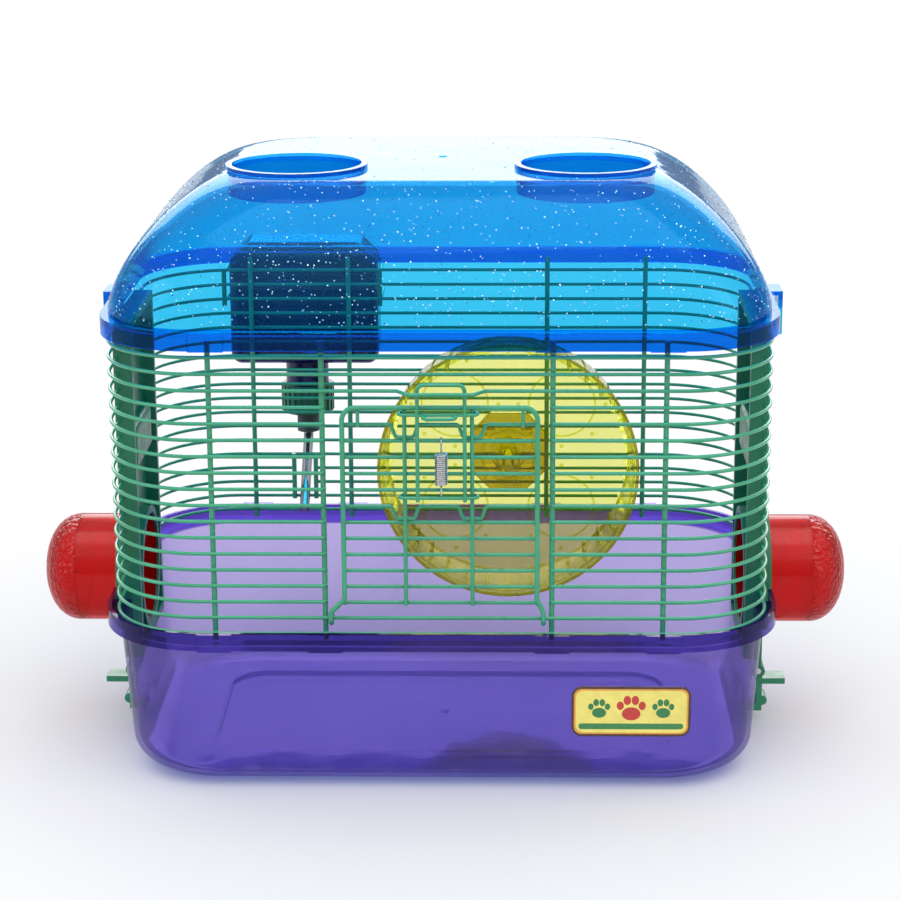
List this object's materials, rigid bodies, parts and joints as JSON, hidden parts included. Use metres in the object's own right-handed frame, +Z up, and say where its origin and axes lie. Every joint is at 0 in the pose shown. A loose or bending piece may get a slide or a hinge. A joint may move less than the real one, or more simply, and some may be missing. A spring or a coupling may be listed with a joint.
{
  "type": "hamster cage",
  "caption": "Small-animal cage with a clear tub, a green wire cage, a clear domed lid with tube ports, a door, an exercise wheel and a hung water bottle.",
  "frame": {"origin": "middle of the underside of the tub, on the ground", "axes": "+X to the right seen from the front, +Y to the back wall with the water bottle, +Z up; the door is on the -Y side"},
  "size_m": [0.4, 0.2601, 0.286],
  "materials": {
    "tub_plastic": "clear violet, glossy",
    "lid_plastic": "clear blue with fine glitter, glossy",
    "ring_plastic": "clear deep blue, glossy",
    "wire_green": "smooth thick coating",
    "panel_green": "moulded, half gloss",
    "latch_green": "moulded, half gloss",
    "plug_red": "clear red, glossy",
    "plug_red_frosted": "clear red, stippled",
    "pin_steel": "plain",
    "spring_steel": "bright drawn wire",
    "wheel_yellow": "clear yellow, glossy",
    "mount_amber": "clear amber, glossy",
    "bottle_blue": "dark blue, glossy",
    "cap_green": "moulded, half gloss",
    "bush_grey": "matt",
    "tube_steel": "polished",
    "label_print": "printed film, satin"
  },
  "bodies": {
    "base_tray": {"tub": "tub_plastic", "front_label": "label_print"},
    "cage": {"front_left_wires": "wire_green", "front_right_wires": "wire_green", "front_top_wires": "wire_green", "front_bottom_wires": "wire_green", "back_upper_wires": "wire_green", "back_lower_wires": "wire_green", "back_left_wires": "wire_green", "back_right_wires": "wire_green", "front_left_corner_wires": "wire_green", "front_right_corner_wires": "wire_green", "back_left_corner_wires": "wire_green", "back_right_corner_wires": "wire_green", "left_side_panel": "panel_green", "left_side_latch_pin": "pin_steel", "right_side_panel": "panel_green", "right_side_latch_pin": "pin_steel", "wheel_mount": "mount_amber", "bottle_bracket": "wire_green"},
    "lid": {"lid": "lid_plastic", "left_top_ring": "ring_plastic", "right_top_ring": "ring_plastic"},
    "front_door": {"door_frame": "wire_green", "door_wires": "wire_green", "latch_spring": "spring_steel"},
    "door_latch": {"door_latch": "wire_green"},
    "exercise_wheel": {"wheel": "wheel_yellow"},
    "left_plug": {"left_plug_sleeve": "plug_red", "left_plug_dome": "plug_red_frosted"},
    "right_plug": {"right_plug_sleeve": "plug_red", "right_plug_dome": "plug_red_frosted"},
    "left_latch": {"left_side_latch": "latch_green"},
    "right_latch": {"right_side_latch": "latch_green"},
    "water_bottle": {"bottle_body": "bottle_blue", "bottle_cap": "cap_green", "tube_holder": "bush_grey", "sipper_tube": "tube_steel"},
    "sipper_ball": {"sipper_ball": "tube_steel"}
  },
  "joints": [
    {"name": "cage_lift", "type": "slide", "parent": "base_tray", "child": "cage", "axis": [0, 0, 1], "range_m": [0, 0.1]},
    {"name": "lid_lift", "type": "slide", "parent": "cage", "child": "lid", "axis": [0, 0, 1], "range_m": [0, 0.09]},
    {"name": "door_hinge", "type": "hinge", "parent": "cage", "child": "front_door", "pos_m": [0, -0.1, 0.08775], "axis": [1, 0, 0], "range_deg": [0, 100]},
    {"name": "door_latch_slide", "type": "slide", "parent": "front_door", "child": "door_latch", "axis": [0, 0, -1], "range_m": [0, 0.009], "stiffness_N_per_m": 300, "springref_m": -0.004, "deforming": ["latch_spring"]},
    {"name": "wheel_spin", "type": "hinge", "parent": "cage", "child": "exercise_wheel", "pos_m": [0.032, 0.075, 0.1143], "axis": [0, 1, 0], "continuous": true},
    {"name": "left_plug_pull", "type": "slide", "parent": "cage", "child": "left_plug", "axis": [-1, 0, 0], "range_m": [0, 0.05]},
    {"name": "right_plug_pull", "type": "slide", "parent": "cage", "child": "right_plug", "axis": [1, 0, 0], "range_m": [0, 0.05]},
    {"name": "left_latch_swing", "type": "hinge", "parent": "cage", "child": "left_latch", "pos_m": [-0.158, 0, 0.028], "axis": [0, 1, 0], "range_deg": [0, 60]},
    {"name": "right_latch_swing", "type": "hinge", "parent": "cage", "child": "right_latch", "pos_m": [0.158, 0, 0.028], "axis": [0, -1, 0], "range_deg": [0, 60]},
    {"name": "bottle_lift", "type": "slide", "parent": "cage", "child": "water_bottle", "axis": [0, 0, 1], "range_m": [0, 0.009]},
    {"name": "ball_push", "type": "slide", "parent": "water_bottle", "child": "sipper_ball", "axis": [0, 0.766, 0.6428], "range_m": [0, 0.0012]}
  ]
}
